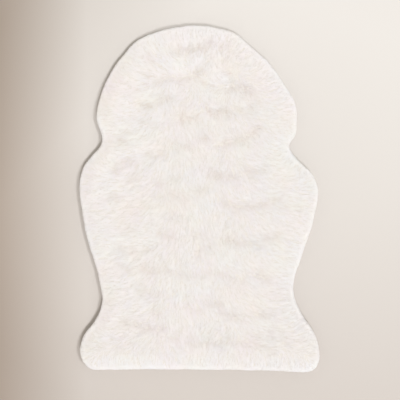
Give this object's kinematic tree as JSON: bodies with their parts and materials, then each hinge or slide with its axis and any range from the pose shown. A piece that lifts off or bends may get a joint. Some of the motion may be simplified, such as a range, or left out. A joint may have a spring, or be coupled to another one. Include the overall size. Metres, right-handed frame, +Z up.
{
  "type": "sheepskin rug",
  "caption": "White sheepskin rug with thick combed wool, lying flat, cut to the classic hide outline with a round head end, a notched neck and a straight hem.",
  "frame": {"origin": "on the floor, under the middle of the rug's box", "axes": "+Y along the rug from the straight hem towards the round head end, +X across it to the right seen from above, +Z up out of the wool"},
  "size_m": [0.6228, 0.8994, 0.0321],
  "materials": {
    "wool": "undyed white long wool, combed, matt with a soft sheen"
  },
  "bodies": {
    "root": {"sheepskin": "wool"}
  },
  "joints": []
}
